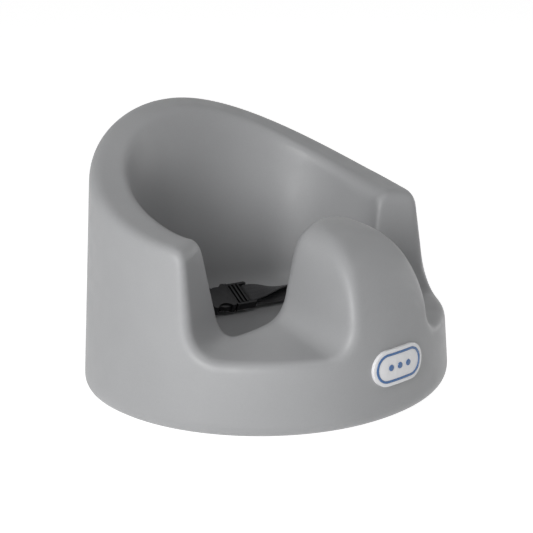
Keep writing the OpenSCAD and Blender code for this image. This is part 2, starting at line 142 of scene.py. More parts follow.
def inner(a, z):
    """A point of the bowl's wall: an oval cut flat at the front."""
    sa, ca = math.sin(math.radians(a)), math.cos(math.radians(a))
    wide = HALF_W - SIDE_WALL + SIDE_FLARE * (z - FLOOR_HEIGHT)
    deep = HALF_D - BACK_WALL + BACK_FLARE * (z - FLOOR_HEIGHT)
    flat = BOWL_FRONT + FRONT_FLARE * (z - FLOOR_HEIGHT)
    side = ((abs(sa) / wide) ** BOWL_N + (abs(ca) / deep) ** BOWL_N) ** (1 / BOWL_N)
    front = max(0.0, ca) / flat
    r = 1 / (side ** BOWL_M + front ** BOWL_M) ** (1 / BOWL_M)
    return Vector((r * sa, BOWL_Y - r * ca, z))


def rim_z(a):
    w = clamp01((a - ARM_END) / (180 - ARM_END))
    g = RIM_SLOPE * (w - 2 * w * w + w ** 3) + w * w * (3 - 2 * w)
    return mix(ARM_HEIGHT, BACK_HEIGHT, g)


def rim_drop(a):
    return mix(ARM_DROP, BACK_DROP, ease(clamp01((a - ARM_END) / DROP_SPAN)))


RIM_STEPS = 96


def edge_path():
    """Stations along the foam's edge, from the middle of the back to the middle of the post.

    Each is an outer and an inner point, as angle and height, and an outer and an inner round.
    """
    arm_top_o = [[RIM_LAST, rim_z(RIM_LAST)], [68.2, ARM_HEIGHT], [67.5, ARM_HEIGHT - 14]]
    arm_top_i = [[RIM_LAST, rim_z(RIM_LAST) - rim_drop(RIM_LAST)],
                 [70.8, ARM_HEIGHT + 2], [70.2, ARM_HEIGHT - 14]]
    arm_foot_o = [[65.6, LIP_HEIGHT + 37], [64.8, LIP_HEIGHT], [54, LIP_HEIGHT]]
    arm_foot_i = [[66.4, LIP_HEIGHT + 29], [64.2, LIP_HEIGHT], [57, LIP_HEIGHT + 6]]
    post_foot_o = [[24, LIP_HEIGHT], [16.8, LIP_HEIGHT], [15.6, LIP_HEIGHT + 25]]
    post_foot_i = [[44, LIP_HEIGHT + 15.5], [33.5, LIP_HEIGHT + 20.8], [31.2, LIP_HEIGHT + 42]]
    post_top_o = [[14.4, POST_HEIGHT - 34], [14.2, POST_HEIGHT - 9], [10, POST_HEIGHT],
                  [0, POST_HEIGHT]]
    post_top_i = [[27.5, POST_HEIGHT - 34], [25.8, POST_HEIGHT - 9], [18, POST_HEIGHT],
                  [0, POST_HEIGHT]]
    # Outer and inner control points, the rounds at both ends, and the number of steps
    stretches = (
        (arm_top_o, arm_top_i, (ARM_ROUND, ARM_IN_ROUND), FLANK_TOP, 24),
        (straight(arm_top_o[2], arm_foot_o[0]), straight(arm_top_i[2], arm_foot_i[0]),
         FLANK_TOP, FLANK_FOOT, 15),
        (arm_foot_o, arm_foot_i, FLANK_FOOT, NOTCH_ARM, 30),
        (straight(arm_foot_o[2], post_foot_o[0]), straight(arm_foot_i[2], post_foot_i[0]),
         NOTCH_ARM, NOTCH_POST, 24),
        (post_foot_o, post_foot_i, NOTCH_POST, POST_LOW, 24),
        (straight(post_foot_o[2], post_top_o[0]), straight(post_foot_i[2], post_top_i[0]),
         POST_LOW, POST_LOW, 15),
        (post_top_o, post_top_i, POST_LOW, POST_CROWN, 36))
    path = []
    for k in range(RIM_STEPS):
        u = k / RIM_STEPS
        a = mix(180, RIM_LAST, u)
        path.append(([a, rim_z(a)], [a, rim_z(a) - rim_drop(a)],
                     mix(BACK_ROUND, ARM_ROUND, ease(u)),
                     mix(BACK_IN_ROUND, ARM_IN_ROUND, ease(clamp01(2 * u - 1)))))
    for outside, inside, start, end, steps in stretches:
        for k in range(steps):
            u = k / steps
            path.append((curve(outside, u), curve(inside, u), *mix(start, end, u)))
    path.append(([0, POST_HEIGHT], [0, POST_HEIGHT], *POST_CROWN))
    return path


def beside(path, k, which, surface):
    """The point a round's width away from the edge, square to it, on the solid's side."""
    p, r = path[k][which], path[k][which + 2]
    if k in (0, len(path) - 1):
        return [p[0], p[1] - r]
    per_degree = (surface(p[0] + 0.5, p[1]) - surface(p[0] - 0.5, p[1])).length
    a, b = path[k - 1][which], path[k + 1][which]
    dx, dz = (b[0] - a[0]) * per_degree, b[1] - a[1]
    long = math.hypot(dx, dz)
    return [p[0] - dz / long * r / per_degree, p[1] + dx / long * r]


BASE_STEPS, WALL_STEPS, ROUND_STEPS, TOP_STEPS = 8, 10, 10, 4
BOWL_STEPS, FILLET_STEPS, FLOOR_STEPS = 6, 12, 6


def profile(path, k):
    """One section through the foam, from the base pocket over the edge to the seat floor."""
    eo, ei = outer(*path[k][0]), inner(*path[k][1])
    oo, oi = beside(path, k, 0, outer), beside(path, k, 1, inner)
    over, wide = (ei - eo).normalized(), (ei - eo).length
    to = eo + over * min(path[k][2], wide * ROUND_SHARE)
    ti = ei - over * min(path[k][3], wide * IN_ROUND_SHARE)
    wo, wi = outer(*oo), inner(*oi)
    foot = inner(oi[0], FLOOR_HEIGHT)
    rise = min(FLOOR_ROUND, (oi[1] - FLOOR_HEIGHT) * RISE_SHARE)
    up = foot + (wi - foot).normalized() * rise
    flat = foot + (FLOOR_MID - foot).normalized() * FLOOR_ROUND
    base = outer(oo[0], 0)
    pocket = Vector((base.x * POCKET_SCALE, base.y * POCKET_SCALE, POCKET_DEEP))
    rows = [pocket, Vector((pocket.x, pocket.y, 0))]
    rows += [outer(oo[0], BASE_ROUND * (1 - math.cos(math.pi / 2 * j / BASE_STEPS)))
             for j in range(BASE_STEPS + 1)]
    rows += [outer(oo[0], mix(BASE_ROUND, oo[1], j / WALL_STEPS)) for j in range(1, WALL_STEPS)]
    rows += [Vector(bez(wo, eo, to, j / ROUND_STEPS)) for j in range(ROUND_STEPS + 1)]
    rows += [to.lerp(ti, j / TOP_STEPS) for j in range(1, TOP_STEPS)]
    rows += [Vector(bez(ti, ei, wi, j / ROUND_STEPS)) for j in range(ROUND_STEPS + 1)]
    rows += [wi.lerp(up, j / BOWL_STEPS) for j in range(1, BOWL_STEPS)]
    rows += [Vector(bez(up, foot, flat, j / FILLET_STEPS)) for j in range(FILLET_STEPS + 1)]
    rows += [flat.lerp(FLOOR_MID, j / FLOOR_STEPS) for j in range(1, FLOOR_STEPS)]
    return rows


# ---------------------------------------------------------------- mesh helpers
# Angles in degrees: where shading breaks, what counts as flat, and what gets an edge round
CREASE, FOAM_CREASE, STRIP_CREASE, STITCH_CREASE = 35, 40, 50, 80
FLAT_ANGLE, EDGE_ANGLE, EDGE_SEGMENTS = 1, 30, 3
# Points closer than this are one point, in metres
SKIN_WELD, COPY_WELD = 2e-6, 1e-5


def new_object(name, mesh):
    obj = bpy.data.objects.new(name, mesh)
    bpy.context.scene.collection.objects.link(obj)
    return obj


def mesh_object(name, points, faces):
    mesh = bpy.data.meshes.new(name)
    mesh.from_pydata([Vector(p) * MM for p in points], [], faces)
    mesh.validate()
    return new_object(name, mesh)


def smooth(obj, degrees):
    for face in obj.data.polygons:
        face.use_smooth = True
    obj.data.set_sharp_from_angle(angle=math.radians(degrees))


def bake(obj):
    """Turns the object's modifiers into its mesh."""
    graph = bpy.context.evaluated_depsgraph_get()
    mesh = bpy.data.meshes.new_from_object(obj.evaluated_get(graph))
    old = obj.data
    obj.modifiers.clear()
    obj.data = mesh
    bpy.data.meshes.remove(old)


def face_outwards(mesh, weld=0.0):
    """Turns all faces outwards, once the points closer than weld are joined."""
    work = bmesh.new()
    work.from_mesh(mesh)
    if weld:
        bmesh.ops.remove_doubles(work, verts=work.verts, dist=weld)
    bmesh.ops.recalc_face_normals(work, faces=work.faces)
    work.to_mesh(mesh)
    work.free()


def cut_out(obj, cutters):
    for cutter in cutters:
        step = obj.modifiers.new("cut", "BOOLEAN")
        step.operation, step.solver, step.object = "DIFFERENCE", "EXACT", cutter
    bake(obj)
    for cutter in cutters:
        bpy.data.objects.remove(cutter)


def block(name, low, high):
    """A plain box, used as a cutter."""
    (x0, y0, z0), (x1, y1, z1) = low, high
    points = [(x, y, z) for z in (z0, z1) for y in (y0, y1) for x in (x0, x1)]
    faces = [(0, 2, 3, 1), (4, 5, 7, 6), (0, 1, 5, 4), (2, 6, 7, 3), (0, 4, 6, 2), (1, 3, 7, 5)]
    return mesh_object(name, points, faces)


def prism(name, outline, z0, z1):
    """An outline in X and Y between two heights."""
    n = len(outline)
    points = [(x, y, z) for z in (z0, z1) for x, y in outline]
    faces = [tuple(range(n - 1, -1, -1)), tuple(range(n, 2 * n))]
    faces += [(k, (k + 1) % n, n + (k + 1) % n, n + k) for k in range(n)]
    return mesh_object(name, points, faces)


def dress(obj, material, slot, body, *replaced):
    obj.data.materials.clear()
    obj.data.materials.append(material)
    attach(obj, body)
    if replaced:
        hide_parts(*replaced)
    return obj


def rounded_copy(node, name, width):
    """The node's own solid with its flat faces joined again and its edges rounded."""
    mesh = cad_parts[node].data.copy()
    work = bmesh.new()
    work.from_mesh(mesh)
    bmesh.ops.remove_doubles(work, verts=work.verts, dist=COPY_WELD)
    bmesh.ops.dissolve_limit(work, angle_limit=math.radians(FLAT_ANGLE), verts=work.verts,
                             edges=work.edges)
    work.to_mesh(mesh)
    work.free()
    obj = new_object(name, mesh)
    bevel = obj.modifiers.new("bevel", "BEVEL")
    bevel.width, bevel.segments = width * MM, EDGE_SEGMENTS
    bevel.limit_method, bevel.angle_limit = "ANGLE", math.radians(EDGE_ANGLE)
    bake(obj)
    smooth(obj, CREASE)
    return obj


# ---------------------------------------------------------------- materials
class Paint:
    """A material's node tree, built a node at a time."""

    def __init__(self, name, color, roughness, metallic=0.0):
        self.material = bpy.data.materials.new(name)
        self.material.use_nodes = True
        self.tree = self.material.node_tree
        self.shader = self.tree.nodes["Principled BSDF"]
        self.color = color
        self.set("Base Color", (*color, 1))
        self.set("Roughness", roughness)
        self.set("Metallic", metallic)
        self.place = self.node("ShaderNodeTexCoord").outputs["Object"]

    def set(self, socket, value):
        self.shader.inputs[socket].default_value = value

    def node(self, kind, **values):
        made = self.tree.nodes.new(kind)
        for key, value in values.items():
            setattr(made, key, value)
        return made

    def wire(self, source, target):
        self.tree.links.new(source, target)

    def noise(self, scale, detail):
        """Noise with this many cells in a metre."""
        made = self.node("ShaderNodeTexNoise")
        made.inputs["Scale"].default_value = scale
        made.inputs["Detail"].default_value = detail
        self.wire(self.place, made.inputs["Vector"])
        return made.outputs["Fac"]

    def spread(self, source, low, high, start=0.3, end=0.7):
        """Stretches the source's values from start to end over low to high."""
        made = self.node("ShaderNodeMapRange")
        for key, value in (("From Min", start), ("From Max", end), ("To Min", low),
                           ("To Max", high)):
            made.inputs[key].default_value = value
        self.wire(source, made.inputs["Value"])
        return made.outputs["Result"]

    def math(self, operation, a, b=None):
        made = self.node("ShaderNodeMath", operation=operation)
        for socket, value in zip(made.inputs, (a, b)):
            if value is None:
                continue
            if isinstance(value, (int, float)):
                socket.default_value = value
            else:
                self.wire(value, socket)
        return made.outputs["Value"]

    def shade_color(self, source, low, high):
        """Varies the base colour between two shares of itself."""
        ramp = self.node("ShaderNodeValToRGB")
        for element, share in zip(ramp.color_ramp.elements, (low, high)):
            element.color = (*[c * share for c in self.color], 1)
        self.wire(source, ramp.inputs["Fac"])
        self.wire(ramp.outputs["Color"], self.shader.inputs["Base Color"])

    def shade_roughness(self, source, low, high):
        self.wire(self.spread(source, low, high), self.shader.inputs["Roughness"])

    def bump(self, *layers):
        """Layers of (height source, depth in metres, strength), coarse to fine."""
        normal = None
        for source, depth, strength in layers:
            made = self.node("ShaderNodeBump")
            made.inputs["Distance"].default_value = depth
            made.inputs["Strength"].default_value = strength
            self.wire(source, made.inputs["Height"])
            if normal:
                self.wire(normal, made.inputs["Normal"])
            normal = made.outputs["Normal"]
        self.wire(normal, self.shader.inputs["Normal"])


# The share of the foam's tone that comes from its clouds, and from its specks
CLOUD_SHARE, SPECK_SHARE = 0.7, 0.3


def foam_material(color, roughness, shine):
    paint = Paint("foam_skin", color, roughness)
    cloud = paint.noise(scale=9, detail=4)
    speck = paint.noise(scale=700, detail=2)
    both = paint.math("ADD", paint.math("MULTIPLY", cloud, CLOUD_SHARE),
                      paint.math("MULTIPLY", speck, SPECK_SHARE))
    paint.shade_color(paint.spread(both, 0, 1, start=0.35, end=0.65), low=0.955, high=1.035)
    paint.shade_roughness(paint.noise(scale=60, detail=5), low=0.42, high=0.52)
    swells = paint.noise(scale=14, detail=2)
    grain = paint.noise(scale=420, detail=3)
    pores = paint.noise(scale=1500, detail=2)
    paint.bump((swells, 0.0012, 0.25), (grain, 0.00016, 0.5), (pores, 0.00005, 0.6))
    paint.set("Specular IOR Level", shine)
    return paint.material


def plastic_material(name, color, roughness, grain, shine=0.5):
    paint = Paint(name, color, roughness)
    paint.set("Specular IOR Level", shine)
    paint.shade_color(paint.noise(scale=40, detail=3), low=0.9, high=1.12)
    paint.shade_roughness(paint.noise(scale=220, detail=4), roughness - 0.06, roughness + 0.08)
    paint.bump((paint.noise(grain, detail=3), 0.00004, 0.5))
    return paint.material


def gloss_material(name, color, roughness=0.22):
    paint = Paint(name, color, roughness)
    paint.shade_color(paint.noise(scale=30, detail=2), low=0.97, high=1.02)
    paint.shade_roughness(paint.noise(scale=180, detail=4), low=0.18, high=0.27)
    paint.bump((paint.noise(scale=90, detail=2), 0.00003, 0.3))
    paint.set("Coat Weight", 0.3)
    paint.set("Coat Roughness", 0.12)
    return paint.material


def steel_material(name, color, roughness):
    paint = Paint(name, color, roughness, metallic=1.0)
    paint.shade_color(paint.noise(scale=50, detail=5), low=0.85, high=1.08)
    paint.shade_roughness(paint.noise(scale=300, detail=5), roughness - 0.08, roughness + 0.12)
    paint.bump((paint.noise(scale=900, detail=3), 0.00002, 0.5))
    return paint.material


# The weave: one rib along the strip, half a chevron across it and one yarn, in metres
RIB = 1.25 * MM
CHEVRON = 3.1 * MM
YARN = CHEVRON / 3
YARN_SHARE = 0.4


def webbing_material(color, roughness):
    """Herringbone weave, by the strip's own length and width in metres."""
    paint = Paint("webbing", color, roughness)
    paint.set("Sheen Weight", 0.12)
    paint.set("Sheen Roughness", 0.5)
    split = paint.node("ShaderNodeSeparateXYZ")
    uv = paint.node("ShaderNodeUVMap")
    uv.uv_map = "strip"
    paint.wire(uv.outputs["UV"], split.inputs["Vector"])
    along, over = split.outputs["X"], split.outputs["Y"]
    slant = paint.math("ADD", along, paint.math("PINGPONG", over, CHEVRON))
    wave = paint.math("SINE", paint.math("MULTIPLY", slant, 2 * math.pi / RIB))
    yarn = paint.math("SINE", paint.math("MULTIPLY", over, 2 * math.pi / YARN))
    weave = paint.math("ADD", wave, paint.math("MULTIPLY", yarn, YARN_SHARE))
    fuzz = paint.noise(scale=2600, detail=3)
    # Colour follows the weave's height: painted shade in its grooves and painted highlight on its
    # ribs, with the fuzz as random tone
    weave_shade_and_fuzz = paint.spread(paint.math("ADD", weave, fuzz), 0, 1, start=-1.2, end=2.2)
    paint.shade_color(weave_shade_and_fuzz, low=0.55, high=1.9)
    paint.bump((weave, 0.00016, 0.7), (fuzz, 0.00005, 0.5))
    return paint.material


def thread_material(color, roughness):
    paint = Paint("thread", color, roughness)
    paint.shade_color(paint.noise(scale=900, detail=3), low=0.8, high=1.3)
    paint.bump((paint.noise(scale=2500, detail=2), 0.00004, 0.6))
    return paint.material


FOAM = foam_material((0.335, 0.338, 0.345), roughness=0.46, shine=0.45)
BUCKLE = plastic_material("buckle_plastic", (0.014, 0.014, 0.0155), roughness=0.42, grain=1800,
                          shine=0.24)
BOARD = plastic_material("black_plastic", (0.03, 0.03, 0.032), roughness=0.55, grain=700)
STEEL = steel_material("bracket_steel", (0.5, 0.51, 0.53), roughness=0.38)
SCREW = steel_material("screw_steel", (0.56, 0.56, 0.58), roughness=0.3)
WEBBING = webbing_material((0.03, 0.03, 0.0325), roughness=0.78)
THREAD = thread_material((0.03, 0.03, 0.033), roughness=0.6)
BADGE_WHITE = gloss_material("badge_white", (0.8, 0.8, 0.815))
BADGE_BLUE = gloss_material("badge_blue", (0.03, 0.12, 0.32))


# ---------------------------------------------------------------- foam seat
HW = WEB_WIDTH / 2
# The belt slot's centre, in from the back wall and up from the seat floor
SLOT_IN, SLOT_UP = 115.5, 13
SLOT_Y, SLOT_Z = HALF_D - SLOT_IN, FLOOR_HEIGHT + SLOT_UP
SLOT_GAP, SLOT_DEEP, SLOT_LEAD = 1.2, 5, 4
# The bracket's upright and the inner end of its flange, in from the side wall
BRACKET_IN, FLANGE_IN = 74, 103
BRACKET_X, FLANGE_X, BRACKET_THICK = HALF_W - BRACKET_IN, HALF_W - FLANGE_IN, 3
BRACKET_SIDE, BRACKET_OVER, ROOM_GAP = 8.5, 15, 0.5
BRACKET_HALF, BRACKET_TOP = HW + BRACKET_SIDE, SLOT_Z + BRACKET_OVER
PIN_R, LOOP_THICK = 2, 1.6
LOOP_R = PIN_R + LOOP_THICK
PIN_X = BRACKET_X + BRACKET_THICK + LOOP_R + ROOM_GAP
# How far a cutter runs past the face that it opens
CUT_PAST = 1


def slot_box(name, side, x0, x1, half, z0, z1):
    xs = sorted((side * x0, side * x1))
    return block(name, (xs[0], SLOT_Y - half, z0), (xs[1], SLOT_Y + half, z1))


def anchor_cutters():
    """On each side the slot, the bracket's shaft and the seat of its flange."""
    cut = []
    for side in (-1, 1):
        cut.append(slot_box("slot_cut", side, FLANGE_X - SLOT_LEAD, BRACKET_X + CUT_PAST,
                            HW + SLOT_GAP, SLOT_Z - SLOT_DEEP / 2, SLOT_Z + SLOT_DEEP / 2))
        cut.append(slot_box("shaft_cut", side, BRACKET_X - ROOM_GAP, PIN_X + LOOP_R + ROOM_GAP,
                            BRACKET_HALF + ROOM_GAP, POCKET_DEEP - CUT_PAST,
                            BRACKET_TOP + ROOM_GAP))
        cut.append(slot_box("flange_cut", side, FLANGE_X - ROOM_GAP, BRACKET_X,
                            BRACKET_HALF + ROOM_GAP, POCKET_DEEP - CUT_PAST,
                            POCKET_DEEP + BRACKET_THICK + ROOM_GAP))
    return cut


BADGE_LENGTH, BADGE_HEIGHT, BADGE_PLAY = 68, 36, 0.06
BADGE_Z = LIP_HEIGHT - BADGE_HEIGHT / 2
# How far the seat's bottom lies behind the wall at the badge's ends, and the cutter's length
BADGE_SINK, BADGE_DEEP = 0.6, 12
# The front of the wall is measured just off the middle, as in the CAD model
NEAR_MIDDLE = 0.001
# Steps round each end of the badge
END_STEPS = 32


def wall_y(x, z):
    a = math.degrees(math.asin((x / (HALF_W - SIDE_LEAN * z)) ** (1 / PLAN_POWER)))
    return outer(a, z).y


def badge_cutter():
    """The badge's flat-bottomed seat in the front wall."""
    front = wall_y(NEAR_MIDDLE, BADGE_Z)
    back = wall_y(BADGE_LENGTH / 2, BADGE_Z) - front + BADGE_SINK
    long, tall = BADGE_LENGTH + 2 * BADGE_PLAY, BADGE_HEIGHT + 2 * BADGE_PLAY
    outline = []
    for side in (1, -1):
        for k in range(END_STEPS + 1):
            t = math.radians(side * 90 - 180 * k / END_STEPS)
            outline.append((side * (long - tall) / 2 + tall / 2 * math.cos(t),
                            tall / 2 * math.sin(t)))
    seat = prism("badge_cut", outline[::-1], 0, BADGE_DEEP)
    turn = Matrix.Rotation(-math.atan(BACK_LEAN + BACK_SHIFT), 4, "X")
    move = Matrix.Translation(Vector((0, front, BADGE_Z)) * MM)
    stand = Matrix.Translation(Vector((0, back, 0)) * MM) @ Matrix.Rotation(math.pi / 2, 4, "X")
    seat.data.transform(move @ turn @ stand)
    return seat


SKIN_STEP, SKIN_PASSES, CROWN_PASSES, SMOOTH_SHARE = 1.8, 6, 60, 0.5
# The crown's half width, the heights over which its smoothing sets in, and the swell that
# makes up for what the smoothing takes off
CROWN_HALF, CROWN_LOW, CROWN_HIGH, CROWN_SWELL = 70, 125, 155, 1.3


def even_crown(foam):
    """Evens out the crown of the post, where its front folds over into its top."""
    crown = foam.vertex_groups.new(name="crown")
    for point in foam.data.vertices:
        x, y, z = point.co / MM
        if abs(x) < CROWN_HALF and y < 0:
            share = ease(clamp01((z - CROWN_LOW) / (CROWN_HIGH - CROWN_LOW)))
            crown.add([point.index], share, "REPLACE")
    soften = foam.modifiers.new("soften", "SMOOTH")
    soften.factor, soften.iterations, soften.vertex_group = SMOOTH_SHARE, CROWN_PASSES, "crown"
    swell = foam.modifiers.new("swell", "DISPLACE")
    swell.strength, swell.mid_level, swell.vertex_group = CROWN_SWELL * MM, 0, "crown"
    bake(foam)
    foam.vertex_groups.clear()


def make_foam():
    path = edge_path()
    right = [profile(path, k) for k in range(len(path))]
    left = [[Vector((-p.x, p.y, p.z)) for p in rows] for rows in right[-2:0:-1]]
    ring = right + left
    rings, rows = len(ring), len(ring[0])
    points = [p for column in ring for p in column]
    faces = []
    for k in range(rings):
        a, b = k * rows, (k + 1) % rings * rows
        faces += [(a + j, b + j, b + j + 1, a + j + 1) for j in range(rows - 1)]
    low, top = len(points), len(points) + 1
    points += [Vector((0, 0, POCKET_DEEP)), FLOOR_MID]
    for k in range(rings):
        a, b = k * rows, (k + 1) % rings * rows
        faces += [(b, a, low), (a + rows - 1, b + rows - 1, top)]
    foam = mesh_object("seat_foam", points, faces)
    face_outwards(foam.data, SKIN_WELD)
    even = foam.modifiers.new("even", "REMESH")
    even.mode, even.voxel_size = "VOXEL", SKIN_STEP * MM
    ease_out = foam.modifiers.new("ease_out", "SMOOTH")
    ease_out.factor, ease_out.iterations = SMOOTH_SHARE, SKIN_PASSES
    bake(foam)
    even_crown(foam)
    cut_out(foam, anchor_cutters() + [badge_cutter()])
    smooth(foam, FOAM_CREASE)
    return dress(foam, FOAM, "foam_skin", "seat", "foam_shell")


# ---------------------------------------------------------------- webbing
# The buckle's frame: +X along the belt to the right from its mouth, Y across its width
BUCKLE_AT = Vector((12.5, SLOT_Y + 21.1, FLOOR_HEIGHT + 15.4))
BUCKLE_SWING, BUCKLE_TILT = -13.3, 26
BUCKLE_TURN = (Matrix.Rotation(math.radians(BUCKLE_SWING), 3, "Z")
               @ Matrix.Rotation(math.radians(BUCKLE_TILT), 3, "X"))


def turned(x, y, z):
    return BUCKLE_TURN @ Vector((x, y, z))


def buckle_point(x, y, z):
    return BUCKLE_AT + turned(x, y, z)


# The round bars that the webbing turns on, and the room before each
BAR_R, BAR_GAP = 1.6, 0.2
TURN_R = BAR_R + BAR_GAP + WEB_THICK / 2
BAR_END = TURN_R + WEB_THICK / 2
SOCKET_LONG, SLOT_NEAR = 28, 15.6
TONGUE_ROOM, SOCKET_ROOM = 2.4, 3.5
TONGUE_BAR = SLOT_NEAR + TONGUE_ROOM + BAR_END
SOCKET_BAR = -SOCKET_LONG - SOCKET_ROOM - BAR_END

# Half width vectors of the strip, where it lies flat in its slot and where it is in the buckle
FLAT_W = Vector((0, HW, 0))
BUCKLE_W = turned(0, HW, 0)

# The loop round the pin, open by the rest of a full turn, and the way out of the slot
LOOP_SPAN, LOOP_STEPS, MOUTH_STEP, MOUTH_STEPS = 340, 24, 1, 12

# Right half: the stretch that comes up to the bar, with its length and its rise, and how the
# free stretch before it leaves and arrives
LEAD, LEAD_RISE = 10, 1.6
LOW_START = -TURN_R - LEAD_RISE
MOUTH_PULL, LOW_PULL = Vector((-16, 0.5, -4)), turned(22, 0, -7)
# The loose end's width direction where it turns edge on, and how fast it gets there
TAIL_TURN, TAIL_RATE = Vector((0.2, 0.93, -0.35)).normalized(), 1.35

# Left half, which stands on its edge where it rounds the bowl
LEFT_LEAD, ON_EDGE, EDGE_SHARE = 14, Vector((0, -0.3, 1)), 1.3
LEFT_PULL, FAR_PULL, FAR_LIFT = Vector((16, 3, 4)), turned(-14, 0, 0), Vector((0, -3, 3))
# Its sewn end: length, the gap to the strip that it lies on, and height there
SEWN_END, SEWN_GAP = 13, 0.2
SEWN_Z = WEB_THICK + SEWN_GAP - TURN_R

FREE_STEPS, LEAD_STEPS, TURN_STEPS, TAIL_STEPS, SEWN_STEPS, SEWN_BEND = 40, 8, 16, 40, 16, 12


def anchor_run(side):
    """The hidden loop round the pin and the stretch to the slot's mouth."""
    run = []
    r = PIN_R + LOOP_THICK / 2
    for k in range(LOOP_STEPS + 1):
        t = math.radians(LOOP_SPAN / 2 - LOOP_SPAN * k / LOOP_STEPS)
        run.append((Vector((PIN_X + r * math.cos(t), SLOT_Y, SLOT_Z + r * math.sin(t))), FLAT_W))
    mouth = Vector((FLANGE_X + MOUTH_STEP, SLOT_Y, SLOT_Z + MOUTH_STEP))
    start = run[-1][0]
    run += [(start.lerp(mouth, k / MOUTH_STEPS), FLAT_W) for k in range(1, MOUTH_STEPS)]
    if side < 0:
        run = [(Vector((-p.x, p.y, p.z)), w) for p, w in run]
        mouth = Vector((-mouth.x, mouth.y, mouth.z))
    return run, mouth


def lead_run(bar, lead, low):
    """The straight stretch that comes in under a bar, from lead away and from low."""
    return [(buckle_point(mix(bar + lead, bar, k / LEAD_STEPS), 0,
                          mix(low, -TURN_R, k / LEAD_STEPS)), BUCKLE_W)
            for k in range(LEAD_STEPS)]


def bar_run(bar, way):
    """Half a turn round a bar, from below it to above it."""
    run = []
    for k in range(TURN_STEPS + 1):
        t = math.radians(-90 + way * 180 * k / TURN_STEPS)
        run.append((buckle_point(bar + TURN_R * math.cos(t), 0, TURN_R * math.sin(t)), BUCKLE_W))
    return run


def right_run():
    run, mouth = anchor_run(1)
    low = buckle_point(TONGUE_BAR + LEAD, 0, LOW_START)
    for k in range(FREE_STEPS):
        u = k / FREE_STEPS
        run.append((cubic(mouth, mouth + MOUTH_PULL, low + LOW_PULL, low, u),
                    FLAT_W.lerp(BUCKLE_W, ease(u))))
    run += lead_run(TONGUE_BAR, LEAD, LOW_START) + bar_run(TONGUE_BAR, -1)
    for k in range(1, TAIL_STEPS + 1):
        u = k / TAIL_STEPS
        way = (BUCKLE_W / HW).lerp(TAIL_TURN, ease(clamp01(TAIL_RATE * u))).normalized()
        run.append((buckle_point(TONGUE_BAR + TAIL_LENGTH * u, 0, TURN_R + math.sin(math.pi * u)),
                    way * HW))
    return run


def left_run():
    run, mouth = anchor_run(-1)
    far = buckle_point(SOCKET_BAR - LEFT_LEAD, 0, -TURN_R)
    for k in range(FREE_STEPS):
        u = k / FREE_STEPS
        way = (FLAT_W.lerp(BUCKLE_W, ease(u)) / HW
               + ON_EDGE * EDGE_SHARE * math.sin(math.pi * u)).normalized()
        run.append((cubic(mouth, mouth + LEFT_PULL, far + FAR_PULL + FAR_LIFT, far, u), way * HW))
    run += lead_run(SOCKET_BAR, -LEFT_LEAD, -TURN_R) + bar_run(SOCKET_BAR, 1)
    for k in range(1, SEWN_STEPS + 1):
        run.append((buckle_point(SOCKET_BAR - SEWN_END * k / SEWN_STEPS, 0,
                                 mix(TURN_R, SEWN_Z, ease(clamp01(k / SEWN_BEND)))), BUCKLE_W))
    return run


def strip_section():
    """Half thickness at places across the width: full in the middle, round at the selvedge."""
    places = [-1, -0.985, -0.96, -0.92, -0.8, -0.6, -0.3, 0, 0.3, 0.6, 0.8, 0.92, 0.96, 0.985, 1]
    lifts = [0.25, 0.62, 0.92, 1, 0.94, 0.96, 0.98, 1, 0.98, 0.96, 0.94, 1, 0.92, 0.62, 0.25]
    top = [(p, lift * WEB_THICK / 2) for p, lift in zip(places, lifts)]
    return top + [(p, -h) for p, h in reversed(top)]


def make_strip(name, run):
    """A woven strip swept along its run, with its length and width as UV."""
    section = strip_section()
    n, m = len(run), len(section)
    points, along = [], [0.0]
    for k, (centre, width) in enumerate(run):
        step = run[min(n - 1, k + 1)][0] - run[max(0, k - 1)][0]
        up = step.cross(width).normalized()
        points += [centre + width * p + up * h for p, h in section]
        if k:
            along.append(along[-1] + (centre - run[k - 1][0]).length)
    faces = [tuple(range(m)), tuple((n - 1) * m + j for j in reversed(range(m)))]
    for k in range(n - 1):
        faces += [(k * m + j, (k + 1) * m + j, (k + 1) * m + (j + 1) % m, k * m + (j + 1) % m)
                  for j in range(m)]
    obj = mesh_object(name, points, faces)
    layer = obj.data.uv_layers.new(name="strip")
    for loop in obj.data.loops:
        k, j = divmod(loop.vertex_index, m)
        layer.data[loop.index].uv = (along[k] * MM, section[j][0] * HW * MM)
    face_outwards(obj.data)
    smooth(obj, STRIP_CREASE)
    return obj


STITCH, STITCH_GAP, THREAD_R = 2.0, 0.9, 0.32
THREAD_SIDES, THREAD_RINGS = 8, 4
# A thread's thickness as a share of its width, and the width of its tips
THREAD_FLAT, THREAD_TIP = 0.7, 0.05
# The seams, as stations from the strip's end and as a share of its width
TAIL_SEAMS, SEWN_SEAMS, SEAM_SHARE = (3, 7), (2, 4), 0.84
# The side of the left strip that shows its seams
SEWN_FACE = -1


